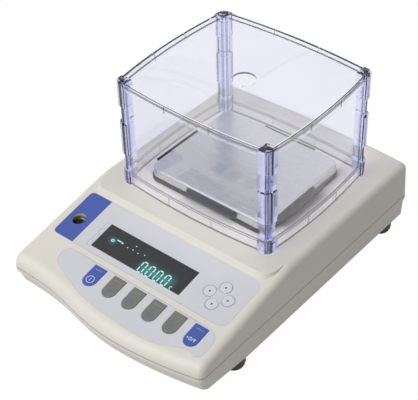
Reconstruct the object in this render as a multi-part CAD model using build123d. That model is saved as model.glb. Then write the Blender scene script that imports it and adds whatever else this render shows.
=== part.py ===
from build123d import *
from math import cos, pi, radians, sin, sqrt, tan
import os

os.makedirs("parts", exist_ok=True)

# Laboratory balance with a draught shield, in millimetres.
# Z is up from the table, the keys face -Y, and X runs to the right.

# Housing outline, measured out from the pan centre
nose_reach = 219.4
rear_reach = 118.8
rear_bow = 4.5
seam_half_width = 117.1
deck_half_width = 114.7
left_shoulder_setback = 13.9
right_shoulder_setback = 18.3
nose_curve = [(-85.0, 13.9), (-52.8, 10.6), (-19.2, 3.7), (15.0, 0.0), (56.0, 2.1)]
nose_run_out = 0.25

# Housing heights and walls
deck_height = 76.8
seam_height = 35.6
base_height = 14.9
base_nose_height = 22.8
base_rise_reach = 140.0
base_lean = 0.36
base_step = 0.6
base_band = 1.6
base_side_draft = 1.1
wall = 2.6
base_floor = 3.0
side_edge_radius = 7.0
nose_radius = 12.5
split_clearance = 0.2

# Sloping key panel and the raised deck behind it
panel_tilt = 11.3
fold_reach = 77.4
deck_front_reach = 100.4
deck_slant = 4.0
deck_corner_radius = 14.0
deck_side_margin = 7.5

# Printed films laid into the key panel
film = 0.35
film_gap = 0.2
upper_film_left = -104.3
upper_film_right = 105.3
upper_film_far = -28.6
upper_film_near = -85.8
film_left_radius = 4.5
film_right_radius = 9.0
lower_film_far = -92.4
lower_film_curve = [(-64.0, -115.6), (-28.5, -127.4), (20.8, -132.3), (69.7, -128.6), (98.0, -120.6)]
lower_film_left = -77.5
lower_film_right = 107.0
lower_film_left_end = -105.0
lower_film_right_end = -108.0

# Display window and tube
window_centre_x = -6.15
window_centre_s = -64.5
window_width = 108.3
window_depth = 30.1
window_flange = 2.0
window_flange_thickness = 0.9
window_clearance = 0.15
tube_width = 100.0
tube_depth = 24.0
tube_gap = 0.6

# Keys
key_width = 14.6
key_length = 23.1
key_far = -94.2
key_pitch = 24.2
first_key_x = -32.9
key_proud = 0.5
key_clearance = 0.3
key_travel = 0.5
key_flange = 1.2
key_flange_thickness = 1.0
arrow_centre_x = 79.1
arrow_centre_s = -60.4
arrow_offset = 10.4
arrow_radius = 5.7
arrow_proud = 0.15

# Operating board under the panel
board_depth = 10.0
board_thickness = 1.6
board_left = -66.0
board_right = 104.0
board_far = -39.0
board_near = -121.0
board_corner = 3.0
board_post_radius = 3.2
board_post_inset = 5.0
switch_size = 6.0
switch_height = 3.4
plunger_radius = 1.7
stem_radius = 2.4
key_stem = 1.1

# Round level beside the display
level_x = -92.5
level_s = -61.4
level_hole_radius = 7.0
level_cup_radius = 9.0
level_cup_height = 9.0
level_cup_wall = 1.2
level_collar_wall = 1.6
level_seat_gap = 0.05

# Weighing pan and the tray that carries it
pan_half_x = 69.8
pan_half_y = 59.4
pan_top = 14.9
pan_skirt_bottom = 5.2
pan_sheet = 1.0
pan_corner_radius = 10.0
pan_edge_radius = 2.6
tray_margin = 1.2
tray_gap = 1.2
tray_thickness = 3.4
tray_pad_radius = 5.0
tray_pad_x = 48.0
tray_pad_y = 38.0
lip_length = 61.0
lip_reach = 6.4
lip_rise = 6.6
lip_thickness = 1.8
lip_shift_x = 5.0
lip_shift_y = -10.0

# Force sensor below the pan
spindle_radius = 6.0
spindle_flange_radius = 14.0
spindle_flange = 3.0
sensor_travel = 0.3
sensor_width = 30.0
sensor_length = 112.0
sensor_height = 34.0
sensor_bottom = 23.0
sensor_foot_length = 26.0
sensor_neck = 1.6
flexure_radius = 5.0
window_end = 17.0
fork_thickness = 3.0
fork_width = 16.0
fork_slot = 4.0
fork_root = 12.0
collar_hole_radius = 10.0
collar_bore_radius = 8.0
collar_flange_radius = 13.0
collar_flange = 0.7
collar_tube = 5.0

# Draught shield: four clear panels laced together at the corners
post_x = 84.1
post_y = 73.6
post_size = 12.6
post_round = 9.2
shield_height = 115.8
knuckle_heights = [16.0, 35.0, 70.0, 90.0]
knuckle_gap = 0.25
knuckle_setback = 1.8
rim_face_x = 88.8
rim_face_y = 78.4
rim_bow = 4.2
rim_thickness = 4.8
bottom_rim_height = 10.8
top_rim_height = 7.5
panel_sheet = 2.0
panel_recess = 1.2
notch_width = 1.4
notch_depth = 0.7
pin_radius = 2.0
pin_clearance = 0.1
pin_peg = 2.2
pin_head_length = 7.0
pin_head_width = 4.6
pin_head_height = 1.4
lid_sheet = 2.0
lid_below_top = 3.0
lid_ledge = 1.8
lid_clearance = 0.4
finger_hole_radius = 11.5

# Levelling feet
foot_x = 101.2
front_foot_reach = 144.7
rear_foot_reach = 92.0
foot_radius = 11.4
foot_wheel_height = 8.2
foot_scallops = 16
foot_scallop_radius = 1.3
pad_radius = 10.2
pad_height = 3.2
pad_gap = 0.3
pad_socket_radius = 4.0
pad_socket_depth = 1.8
running_clearance = 0.06
stud_radius = 3.0
stud_top = 32.0
bush_radius = 5.4
bush_length = 9.0
foot_boss_radius = 8.5

# Screws that close the housing
front_screw_x = 88.0
front_screw_reach = 107.0
rear_screw_x = 104.0
rear_screw_reach = 108.0
screw_boss_radius = 4.5
screw_radius = 1.7
screw_clearance = 0.15
screw_head_radius = 3.6
screw_head_height = 2.4
screw_engagement = 14.0

# Main board and the sockets in the rear wall
main_board_x = -60.0
main_board_width = 74.0
main_board_length = 88.0
main_board_height = 40.0
main_board_rear_gap = 5.0
standoff_radius = 3.5
socket_height = 11.0
power_socket_x = -88.0
power_socket_width = 10.0
power_bore_radius = 3.2
power_pin_radius = 1.0
serial_socket_x = -54.0
serial_width = 31.0
serial_shell_width = 17.0
serial_shell_height = 8.4
socket_length = 14.0
cutout_clearance = 0.4

# Cover under the sensor for weighing from a hook
hook_hole_radius = 9.0
hook_cover_radius = 14.0
hook_cover_recess = 1.5

pan_y = (nose_reach - rear_reach) / 2
fold_y = pan_y - fold_reach
rear_y = pan_y + rear_reach
nose_y = pan_y - nose_reach
tilt = radians(panel_tilt)
panel = Plane((0, fold_y, deck_height), x_dir=(1, 0, 0), z_dir=(0, -sin(tilt), cos(tilt)))
side_lean = (seam_half_width - deck_half_width) / (deck_height - seam_height)
spare = 20.0


def disc(radius, height, x, y, z):
    return Pos(x, y, z) * Cylinder(radius, height, align=(Align.CENTER, Align.CENTER, Align.MIN))


def block(width, depth, height, x, y, z):
    return Pos(x, y, z) * Box(width, depth, height, align=(Align.CENTER, Align.CENTER, Align.MIN))


def raised(sketch, top, bottom):
    """Solid on the sloping panel between two heights along its normal."""
    return extrude(panel * Pos(0, 0, bottom) * sketch, top - bottom)


def save(shape, name):
    shape.label = name
    export_step(shape, f"parts/{name}.step")
    print(name, round(shape.volume), len(shape.faces()))


# Outer skin of both housing halves

def outline(inset):
    """Plan view: curved nose, bowed rear wall, sides left wide for the section to trim."""
    wide = seam_half_width + spare
    knots = [(-wide, left_shoulder_setback)] + nose_curve + [(wide, right_shoulder_setback)]
    points = [(x, nose_y + setback + inset) for x, setback in knots]
    nose = Spline(*points, tangents=[(1, 0), (1, nose_run_out)])
    left, right = nose @ 0, nose @ 1
    corner = rear_y - rear_bow * (wide / seam_half_width) ** 2 - inset
    rear = ThreePointArc((right.X, corner), (0, rear_y - inset), (left.X, corner))
    return make_face(Curve() + [nose, Line(right, rear @ 0), rear, Line(rear @ 1, left)])


def upper_form(inset):
    """Upper half as a solid, shrunk by inset: plan, side view and section meet in it."""
    low = seam_height - spare
    top = deck_height - inset
    prism = Pos(0, 0, low) * extrude(outline(inset), top - low + spare)
    knee = fold_y + inset * tan(tilt / 2)
    far = nose_y - 2 * spare
    sill = top - (knee - far) * tan(tilt)
    back = rear_y + spare
    side = [(back, low), (back, top), (knee, top), (far, sill), (far, low - spare), (back, low - spare)]
    form = prism & extrude(Plane.YZ * make_face(Polyline(*side, close=True)), seam_half_width * 2, both=True)
    roll = [e for e in form.edges() if on_slope(e, inset) and e.length > deck_half_width]
    form = fillet(roll, nose_radius - inset)
    low_half = seam_half_width + side_lean * spare - inset
    top_half = deck_half_width - inset + side_lean * inset
    section = [(-low_half, low), (-top_half, top), (top_half, top), (low_half, low)]
    form = form & extrude(Plane.XZ * make_face(Polyline(*section, close=True)), nose_reach * 2, both=True)
    rim = [e for e in form.edges() if is_rim(e, inset, low)]
    form = fillet(rim, side_edge_radius - inset)
    return form & block(seam_half_width * 4, nose_reach * 4, deck_height, 0, 0, seam_height)


def on_slope(edge, inset):
    """True for the edge between the sloping panel and the nose."""
    heights = [panel.to_local_coords(edge @ t).Z + inset for t in (0, 0.5, 1)]
    return max(abs(h) for h in heights) < 0.01 and (edge @ 0.5).Y < fold_y - spare


def is_rim(edge, inset, low):
    """True for the long side edges, the upright corners and the rear top edge."""
    middle = edge @ 0.5
    beside = abs(middle.X) > deck_half_width - inset - 1
    behind = middle.Y > rear_y - inset - rear_bow - 1
    return middle.Z > low + 0.5 and (beside or behind)


def base_form(inset, floor):
    """Lower half as a solid: leans back under the nose and rises towards the front."""
    drop = seam_height - base_height
    face = outline(inset + base_step)
    upright = Pos(0, 0, base_height - spare) * extrude(face, drop + spare)
    leaning = extrude(Pos(0, 0, seam_height) * face, drop + spare, dir=(0, base_lean, -1))
    low = base_height + floor
    rise = pan_y - base_rise_reach
    toe = nose_y - spare
    toe_height = low + (base_nose_height - base_height) * (rise - toe) / (rise - nose_y)
    back = rear_y + spare
    side = [(back, low), (rise, low), (toe, toe_height), (toe, seam_height), (back, seam_height)]
    profile = extrude(Plane.YZ * make_face(Polyline(*side, close=True)), seam_half_width * 2, both=True)
    top_half = seam_half_width - base_step - inset
    low_half = top_half - base_side_draft
    section = [(-low_half, base_height), (-top_half, seam_height), (top_half, seam_height), (low_half, base_height)]
    trim = extrude(Plane.XZ * make_face(Polyline(*section, close=True)), nose_reach * 2, both=True)
    form = upright & leaning & profile & trim
    corners = [e for e in form.edges() if abs((e @ 0).Z - (e @ 1).Z) > 5 and abs((e @ 0.5).X) > top_half - 5]
    corners = [e for e in corners if abs((e @ 0).Y - (e @ 1).Y) < drop]
    return fillet(corners, side_edge_radius - inset)


def foot_places():
    rows = {"front": pan_y - front_foot_reach, "rear": pan_y + rear_foot_reach}
    sides = {"left": -foot_x, "right": foot_x}
    return {f"{row}_{side}": (x, y) for row, y in rows.items() for side, x in sides.items()}


def screw_places():
    front = [(x, pan_y - front_screw_reach) for x in (-front_screw_x, front_screw_x)]
    rear = [(x, pan_y + rear_screw_reach) for x in (-rear_screw_x, rear_screw_x)]
    return front + rear


# Sketches on the sloping panel

def key_sketch(x, grow):
    half = key_width / 2
    straight = key_length - half
    body = Pos(x, key_far - straight / 2) * Rectangle(key_width + 2 * grow, straight + 2 * grow)
    return body + Pos(x, key_far - straight) * Circle(half + grow)


def key_places():
    return [first_key_x + i * key_pitch for i in range(6)]


def arrow_places():
    steps = {"up": (0, 1), "down": (0, -1), "left": (-1, 0), "right": (1, 0)}
    return {
        name: (arrow_centre_x + dx * arrow_offset, arrow_centre_s + dy * arrow_offset)
        for name, (dx, dy) in steps.items()
    }


def window_sketch(grow):
    return Pos(window_centre_x, window_centre_s) * Rectangle(window_width + 2 * grow, window_depth + 2 * grow)


def upper_film_sketch(grow):
    middle = (upper_film_left + upper_film_right) / 2
    centre = (upper_film_far + upper_film_near) / 2
    width = upper_film_right - upper_film_left
    depth = upper_film_far - upper_film_near
    half = width / 4
    left = RectangleRounded(width / 2 + spare + 2 * grow, depth + 2 * grow, film_left_radius + grow)
    right = RectangleRounded(width / 2 + spare + 2 * grow, depth + 2 * grow, film_right_radius + grow)
    return Pos(middle - half + spare / 2, centre) * left + Pos(middle + half - spare / 2, centre) * right


def lower_film_sketch(grow):
    """Straight along the top, a long arc along the nose, round at both ends."""
    left = (lower_film_left - grow, lower_film_left_end)
    right = (lower_film_right + grow, lower_film_right_end)
    top_right = (lower_film_right - film_right_radius * 1.6, lower_film_far + grow)
    top_left = (lower_film_left + film_left_radius, lower_film_far + grow)
    sweep = [(x, s - grow) for x, s in lower_film_curve]
    near = Spline(left, *sweep, right, tangents=[(0.3, -1), (0, 1)])
    close_right = Spline(right, top_right, tangents=[(0, 1), (-1, 0)])
    close_left = Spline(top_left, left, tangents=[(-1, 0), (0.3, -1)])
    return make_face(Curve() + [near, close_right, Line(top_right, top_left), close_left])


def level_height():
    return deck_height + level_s * sin(tilt)


def level_y():
    return fold_y + level_s * cos(tilt)


# Housing

def upper_housing():
    skin = upper_form(0)
    body = skin - upper_form(wall)
    body = body + raised_deck()
    for x, y in screw_places():
        body = body + (disc(screw_boss_radius, deck_height, x, y, seam_height) & skin)
    for x, s in board_posts():
        body = body + raised(Pos(x, s) * Circle(board_post_radius), -wall / 2, -board_depth)
    collar = level_cup_radius + level_seat_gap + level_collar_wall
    low = level_height() - wall - level_cup_height - 2
    body = body + (disc(collar, deck_height, level_x, level_y(), low) & skin)
    return cut_housing(body)


def raised_deck():
    """Platform under the shield: level with the deck and standing out over the slope."""
    half = deck_half_width - deck_side_margin
    depth = deck_front_reach - fold_reach + 2 * spare
    drop = (deck_front_reach + deck_slant - fold_reach) * tan(tilt) + film
    centre = pan_y - deck_front_reach + depth / 2
    top = Pos(0, centre, deck_height) * RectangleRounded(2 * half, depth, deck_corner_radius)
    foot = Pos(0, centre, deck_height - drop) * RectangleRounded(
        2 * half + 2, depth + 2 * deck_slant, deck_corner_radius + 1
    )
    return loft([foot, top])


def cut_housing(body):
    body = body - raised(upper_film_sketch(film_gap), spare / 4, -film)
    body = body - raised(lower_film_sketch(film_gap), spare / 4, -film)
    body = body - raised(window_sketch(window_clearance), spare, -wall * 2)
    for x in key_places():
        body = body - raised(key_sketch(x, key_clearance), spare, -wall * 2)
    for x, s in arrow_places().values():
        body = body - raised(Pos(x, s) * Circle(arrow_radius + key_clearance), spare, -wall * 2)
    body = body - raised(Pos(level_x, level_s) * Circle(level_hole_radius), spare, -wall * 2)
    seat = level_height() - wall
    body = body - disc(level_cup_radius + level_seat_gap, spare, level_x, level_y(), seat - spare)
    body = body - disc(collar_hole_radius, deck_height, 0, pan_y, deck_height - spare)
    for x, y in post_places():
        body = body - disc(pin_radius + 3 * pin_clearance, spare, x, y, deck_height - pin_peg - 0.2)
    for x, y in screw_places():
        body = body - disc(screw_radius + 0.05, screw_engagement, x, y, seam_height)
    for x, s in board_posts():
        body = body - raised(Pos(x, s) * Circle(1.1), -wall, -board_depth - 1)
    for x, width, height in rear_cutouts():
        body = body - block(width, spare, height, x, rear_y, main_board_height + board_thickness - cutout_clearance)
    return body


def lower_base():
    shell = base_form(0, 0) - base_form(wall, base_floor)
    groove = base_form(-1, -1) - base_form(base_step, -1)
    band = block(seam_half_width * 3, nose_reach * 3, seam_height, 0, 0, seam_height - base_band - seam_height)
    shell = shell - (groove & band)
    inside = base_form(0.5, 0.5)
    for x, y in foot_places().values():
        shell = shell + (disc(foot_boss_radius, bush_length + 1, x, y, base_height + 0.5))
    for x, y in screw_places():
        shell = shell + disc(screw_boss_radius, seam_height - base_height - 0.5, x, y, base_height + 0.5)
    for x, y in standoffs():
        top = main_board_height - base_height - 0.5
        shell = shell + disc(standoff_radius, top, x, y, base_height + 0.5)
    for y in sensor_bosses():
        shell = shell + block(sensor_width, 9, sensor_bottom - base_height - 0.5, 0, y, base_height + 0.5)
    shell = shell + hook_well()
    return cut_base(shell + floor_ribs(inside))


def floor_ribs(inside):
    """Low ribs that stiffen the floor between the feet."""
    ribs = []
    for y in (pan_y - front_foot_reach, pan_y - front_foot_reach / 2, pan_y + rear_foot_reach):
        ribs.append(block(seam_half_width * 3, wall * 0.7, base_floor + 4, 0, y, base_height))
    for x in (-foot_x / 2, foot_x / 2):
        ribs.append(block(wall * 0.7, nose_reach * 3, base_floor + 4, x, 0, base_height))
    return [rib & inside for rib in ribs]


def hook_well():
    return disc(hook_cover_radius + wall, base_floor + 1, 0, pan_y, base_height)


def cut_base(shell):
    for x, y in foot_places().values():
        shell = shell - disc(bush_radius + 0.02, bush_length, x, y, base_height + 0.5 + 1)
        shell = shell - disc(stud_radius + 1, spare, x, y, base_height - 1)
    for x, y in screw_places():
        shell = shell - disc(screw_radius + screw_clearance, seam_height, x, y, base_height - 1)
        shell = shell - disc(screw_head_radius + 0.3, screw_head_height + 3, x, y, base_height - 1)
    shell = shell - disc(hook_cover_radius + 0.2, hook_cover_recess, 0, pan_y, base_height)
    return shell - disc(hook_hole_radius, spare, 0, pan_y, base_height - 1)


def housing_screws():
    screws = []
    length = seam_height + screw_engagement - 1 - base_height - screw_head_height - 2
    for x, y in screw_places():
        head = disc(screw_head_radius, screw_head_height, x, y, base_height + 1.6)
        screws.append(head + disc(screw_radius, length, x, y, base_height + 1.6 + screw_head_height))
    return Compound(screws)


def hook_cover():
    return disc(hook_cover_radius, hook_cover_recess, 0, pan_y, base_height)


# Key panel

def upper_film():
    sheet = upper_film_sketch(0) - window_sketch(0)
    for x, s in arrow_places().values():
        sheet = sheet - Pos(x, s) * Circle(arrow_radius + key_clearance)
    sheet = sheet - Pos(level_x, level_s) * Circle(level_hole_radius)
    return raised(sheet, 0, -film)


def lower_film():
    sheet = lower_film_sketch(0)
    for x in key_places():
        sheet = sheet - key_sketch(x, key_clearance)
    return raised(sheet, 0, -film)


def display_window():
    pane = raised(window_sketch(-window_clearance), 0, -wall)
    return pane + raised(window_sketch(window_flange), -wall, -wall - window_flange_thickness)


def key(x):
    flange_top = -wall - key_clearance
    flange_bottom = flange_top - key_flange_thickness
    cap = raised(key_sketch(x, 0), key_proud, flange_top)
    top = [e for e in cap.edges() if abs(panel.to_local_coords(e @ 0.5).Z - key_proud) < 0.01]
    cap = fillet(top, 0.4)
    cap = cap + raised(key_sketch(x, key_flange), flange_top, flange_bottom)
    centre = key_far - key_length / 2
    return cap + raised(Pos(x, centre) * Circle(stem_radius), flange_bottom, flange_bottom - key_stem)


def arrow_key(x, s):
    flange_top = -wall - key_clearance
    flange_bottom = flange_top - key_flange_thickness
    cap = raised(Pos(x, s) * Circle(arrow_radius), arrow_proud, flange_top)
    cap = cap + raised(Pos(x, s) * Circle(arrow_radius + key_flange), flange_top, flange_bottom)
    return cap + raised(Pos(x, s) * Circle(stem_radius), flange_bottom, flange_bottom - key_stem)


def board_posts():
    xs = (board_left + board_post_inset, board_right - board_post_inset)
    ss = (board_far - board_post_inset + 1, board_near + board_post_inset)
    return [(xs[0], ss[0]), (xs[0], ss[1]), (xs[1], ss[0]), (xs[1], ss[1])]


def panel_board():
    width = board_right - board_left
    depth = board_far - board_near
    centre = Pos((board_right + board_left) / 2, (board_far + board_near) / 2)
    sheet = centre * RectangleRounded(width, depth, board_corner)
    for x, s in board_posts():
        sheet = sheet - Pos(x, s) * Circle(1.6)
    return raised(sheet, -board_depth, -board_depth - board_thickness)


def key_switches():
    """Snap switches, one under each key, their plungers just clear of the stems."""
    stem_end = -wall - key_clearance - key_flange_thickness - key_stem
    plunger_top = stem_end - key_travel - 0.2
    places = [(x, key_far - key_length / 2) for x in key_places()] + list(arrow_places().values())
    switches = []
    for x, s in places:
        body = raised(Pos(x, s) * Rectangle(switch_size, switch_size), switch_height - board_depth, -board_depth)
        switches.append(body + raised(Pos(x, s) * Circle(plunger_radius), plunger_top, switch_height - board_depth))
    return Compound(switches)


def display_tube():
    top = -wall - window_flange_thickness - tube_gap
    body = raised(Pos(window_centre_x, window_centre_s) * Rectangle(tube_width, tube_depth), top, -board_depth)
    return body


def level_cup():
    seat = level_height() - wall
    cup = disc(level_cup_radius, level_cup_height, level_x, level_y(), seat - level_cup_height)
    skin = upper_form(wall + 0.1)
    cup = cup & skin
    return cup - disc(level_cup_radius - level_cup_wall, spare, level_x, level_y(), seat - level_cup_height + 2)


def level_vial():
    seat = level_height() - wall
    radius = level_cup_radius - level_cup_wall - level_seat_gap
    return disc(radius, level_cup_height - 5, level_x, level_y(), seat - level_cup_height + 2)


# Pan, tray, spindle and sensor

def weighing_pan():
    """Pressed plate: flat top, rounded edge and a short skirt, made as a shell."""
    top = deck_height + pan_top
    bottom = deck_height + pan_skirt_bottom
    plate = Pos(0, pan_y, bottom) * extrude(RectangleRounded(2 * pan_half_x, 2 * pan_half_y, pan_corner_radius), top - bottom)
    plate = fillet(plate.faces().sort_by(Axis.Z)[-1].edges(), pan_edge_radius)
    inner = RectangleRounded(
        2 * (pan_half_x - pan_sheet), 2 * (pan_half_y - pan_sheet), pan_corner_radius - pan_sheet
    )
    hollow = Pos(0, pan_y, bottom) * extrude(inner, top - bottom - pan_sheet)
    hollow = fillet(hollow.faces().sort_by(Axis.Z)[-1].edges(), pan_edge_radius - pan_sheet)
    return plate - hollow


def pan_tray():
    """Black tray: a plate with four pads for the pan and four flared finger lips."""
    bottom = deck_height + tray_gap
    half_x = pan_half_x + tray_margin
    half_y = pan_half_y + tray_margin
    plan = RectangleRounded(2 * half_x, 2 * half_y, pan_corner_radius + tray_margin)
    tray = Pos(0, pan_y, bottom) * extrude(plan, tray_thickness)
    pads = deck_height + pan_top - pan_sheet - bottom - tray_thickness
    for x in (-tray_pad_x, tray_pad_x):
        for y in (-tray_pad_y, tray_pad_y):
            tray = tray + disc(tray_pad_radius, pads, x, pan_y + y, bottom + tray_thickness)
    tray = tray + disc(spindle_flange_radius + 3, tray_thickness + 3, 0, pan_y, bottom)
    start = bottom + tray_thickness - lip_thickness
    profile = [(-1.5, 0), (-1.5, lip_thickness), (0.6, lip_thickness), (lip_reach - 1.2, lip_rise), (lip_reach, lip_rise - 0.8), (1.4, 0)]
    face = make_face(Polyline(*profile, close=True))
    for turn, shift, half in ((0, lip_shift_y, half_x), (180, -lip_shift_y, half_x), (90, -lip_shift_x, half_y), (270, lip_shift_x, half_y)):
        lip = extrude(Plane.XZ * face, lip_length / 2, both=True)
        tray = tray + Pos(0, pan_y, start) * Rot(0, 0, turn) * Pos(half, shift, 0) * lip
    socket = bottom + spindle_flange
    return tray - disc(spindle_flange_radius + 0.1, spindle_flange, 0, pan_y, bottom)


def spindle():
    """Column that takes the tray's load down to the sensor, with a flange under the tray."""
    top = deck_height + tray_gap
    low = sensor_bottom + sensor_height + sensor_travel + 0.1
    column = disc(spindle_radius, top - low, 0, pan_y, low)
    return column + disc(spindle_flange_radius, spindle_flange, 0, pan_y, top)


def dust_collar():
    ring = disc(collar_flange_radius, collar_flange, 0, pan_y, deck_height)
    ring = ring + disc(collar_hole_radius - 0.1, collar_tube, 0, pan_y, deck_height - collar_tube)
    return ring - disc(collar_bore_radius, spare, 0, pan_y, deck_height - spare / 2)


def sensor_bosses():
    rear = pan_y + sensor_length - sensor_foot_length / 2
    return [rear - sensor_foot_length / 2, rear]


def sensor_block():
    """One-piece parallel guide: two stiff ends joined by arms with four thin necks."""
    front = pan_y - spindle_radius * 2
    middle = front + sensor_length / 2
    top = sensor_bottom + sensor_height
    body = block(sensor_width, sensor_length, sensor_height, 0, middle, sensor_bottom)
    body = body - block(sensor_width + 2, sensor_length - 2 * window_end - 2 * flexure_radius, sensor_height - 14, 0, middle, sensor_bottom + 7)
    for y in (front + window_end + flexure_radius, front + sensor_length - window_end - flexure_radius):
        for z in (sensor_bottom + sensor_neck + flexure_radius, top - sensor_neck - flexure_radius):
            body = body - Pos(0, y, z) * Rot(0, 90, 0) * Cylinder(flexure_radius, sensor_width + 2)
        body = body - block(sensor_width + 2, 2 * flexure_radius, sensor_height - 2 * sensor_neck - 2 * flexure_radius, 0, y, sensor_bottom + sensor_neck + flexure_radius)
    return body


def tuning_fork():
    """Metal fork between the fixed and the free end, its two tines parallel."""
    front = pan_y - spindle_radius * 2
    length = sensor_length - 2 * window_end
    middle = front + sensor_length / 2
    height = sensor_bottom + sensor_height / 2
    fork = block(fork_width, length, fork_thickness, 0, middle, height - fork_thickness / 2)
    slot = length - 2 * fork_root
    fork = fork - block(fork_slot, slot, spare, 0, middle, height - spare / 2)
    return fork


# Feet

def foot_pad(x, y):
    pad = disc(pad_radius, pad_height, x, y, 0)
    pad = chamfer(pad.faces().sort_by(Axis.Z)[0].edges(), 0.8)
    return pad - disc(pad_socket_radius, pad_socket_depth, x, y, pad_height - pad_socket_depth)


def foot_screw(x, y):
    low = pad_height + pad_gap
    wheel = Pos(x, y, low) * extrude(wheel_sketch(), foot_wheel_height)
    stud = disc(stud_radius, stud_top - low, x, y, low)
    spigot_low = pad_height - pad_socket_depth + pad_gap
    spigot = disc(pad_socket_radius - running_clearance, low - spigot_low, x, y, spigot_low)
    return wheel + stud + spigot


def wheel_sketch():
    wheel = Circle(foot_radius)
    for i in range(foot_scallops):
        wheel = wheel - Rot(0, 0, 360 * i / foot_scallops) * Pos(foot_radius + 0.4, 0) * Circle(foot_scallop_radius)
    return wheel


def foot_bushes():
    bushes = []
    for x, y in foot_places().values():
        bush = disc(bush_radius, bush_length, x, y, base_height + 1.5)
        bushes.append(bush - disc(stud_radius + running_clearance, spare, x, y, base_height))
    return Compound(bushes)


# Boards and sockets at the rear

def main_board_rear():
    return rear_y - wall - main_board_rear_gap


def standoffs():
    xs = (main_board_x - main_board_width / 2 + 6, main_board_x + main_board_width / 2 - 6)
    ys = (main_board_rear() - main_board_length + 6, main_board_rear() - 24)
    return [(x, y) for x in xs for y in ys]


def main_board():
    centre = main_board_rear() - main_board_length / 2
    board = block(main_board_width, main_board_length, board_thickness, main_board_x, centre, main_board_height)
    for x, y in standoffs():
        board = board - disc(1.7, spare, x, y, main_board_height - 5)
    return board


def rear_cutouts():
    height = socket_height + 2 * cutout_clearance
    return [
        (power_socket_x, power_socket_width + 2 * cutout_clearance, height),
        (serial_socket_x, serial_width + 2 * cutout_clearance, height),
    ]


def wall_face(x):
    return rear_y - rear_bow * (x / seam_half_width) ** 2


def power_socket():
    low = main_board_height + board_thickness
    face = wall_face(power_socket_x) - 1.2
    body = block(power_socket_width, socket_length, socket_height, power_socket_x, face - socket_length / 2, low)
    mouth = Pos(power_socket_x, face, low + socket_height / 2) * Rot(90, 0, 0)
    body = body - mouth * Cylinder(power_bore_radius, 20)
    pin = Pos(power_socket_x, face - 6.5, low + socket_height / 2) * Rot(90, 0, 0) * Cylinder(power_pin_radius, 11)
    return body + pin


def serial_socket():
    low = main_board_height + board_thickness
    face = wall_face(serial_socket_x) - 1.2
    middle = low + socket_height / 2
    body = block(serial_width, socket_length, socket_height, serial_socket_x, face - socket_length / 2, low)
    slope = 1.0
    half = serial_shell_width / 2
    rise = serial_shell_height / 2
    shell = make_face(Polyline((-half, rise), (half, rise), (half - slope, -rise), (slope - half, -rise), close=True))
    recess = extrude(Plane.XZ * shell, 5)
    body = body - Pos(serial_socket_x, face + 0.01, middle) * Rot(0, 0, 180) * recess
    return body


# Draught shield

def post_places():
    return [(i * post_x, pan_y + j * post_y) for i in (-1, 1) for j in (-1, 1)]


def bowed_strip(face, half, thickness, recess):
    """Plan of a strip that bows outward along -Y, centred on the shield."""
    radius = (half_span(face) ** 2 + rim_bow**2) / (2 * rim_bow)
    centre = Pos(0, radius - face - rim_bow)
    ring = centre * Circle(radius - recess) - centre * Circle(radius - recess - thickness)
    return ring & Pos(0, -face) * Rectangle(2 * half, 4 * rim_bow + 4 * rim_thickness)


def half_span(face):
    """Half the clear length between the posts, for the long or the short panels."""
    along = post_x if face == rim_face_y else post_y
    return along - post_size / 2


def strip(face, half, thickness, recess, low, high):
    return Pos(0, 0, low) * extrude(bowed_strip(face, half, thickness, recess), high - low)


def knuckle(x, y, setback, low, high):
    """Corner block seen at +X -Y of the shield, its outer edge rounded."""
    size = post_size - setback
    inner_x = x - post_size / 2
    inner_y = y + post_size / 2
    square = Pos(inner_x + size / 2, inner_y - size / 2) * Rectangle(size, size)
    outer = square.vertices().sort_by(Axis.X)[-2:].sort_by(Axis.Y)[0]
    square = fillet(outer, post_round - setback)
    solid = Pos(0, 0, low + knuckle_gap / 2) * extrude(square, high - low - knuckle_gap)
    return solid


def shield_panel(face, reach, along, setback, spans, z0):
    """One clear panel in its own place at -Y: sheet, two rims, ledge and knuckles."""
    free = half_span(face) - knuckle_gap
    top = shield_height
    body = strip(face, free, panel_sheet, panel_recess, 0, top)
    body = body + strip(face, free, rim_thickness, 0, 0, bottom_rim_height)
    seat = top - lid_below_top - lid_sheet
    body = body + strip(face, free, rim_thickness - lid_ledge, 0, top - top_rim_height, top)
    body = body + strip(face, free, rim_thickness, 0, top - top_rim_height, seat)
    for third in (-1, 1):
        x = third * free / 3
        mark = strip(face, free, notch_depth + 1, -1, -1, top + 1) & block(notch_width, 400, 400, x, 0, -50)
        mark = mark & (block(400, 400, bottom_rim_height + 1, 0, 0, -1) + block(400, 400, top_rim_height + 1, 0, 0, top - top_rim_height))
        body = body - mark
    for low, high in spans:
        web = strip(face, along, panel_sheet, panel_recess, low + knuckle_gap / 2, high - knuckle_gap / 2)
        corner = knuckle(along, -reach, setback, low, high)
        clear = web & block(400, 400, 400, 0, 0, -100)
        body = body + clear + corner + mirror(corner, Plane.YZ)
    for side in (-1, 1):
        body = body - disc(pin_radius + pin_clearance, top + 2, side * along, -reach, -1)
    return Pos(0, 0, z0) * body


def shield_panels():
    ends = [0.0] + knuckle_heights + [shield_height]
    spans = [(ends[i], ends[i + 1]) for i in range(len(ends) - 1)]
    place = Pos(0, pan_y, deck_height)
    long_panel = shield_panel(rim_face_y, post_y, post_x, knuckle_setback, spans[1::2], 0)
    short_panel = shield_panel(rim_face_x, post_x, post_y, 0, spans[0::2], 0)
    return {
        "shield_front": place * long_panel,
        "shield_back": place * Rot(0, 0, 180) * long_panel,
        "shield_right": place * Rot(0, 0, 90) * short_panel,
        "shield_left": place * Rot(0, 0, 270) * short_panel,
    }


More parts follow.
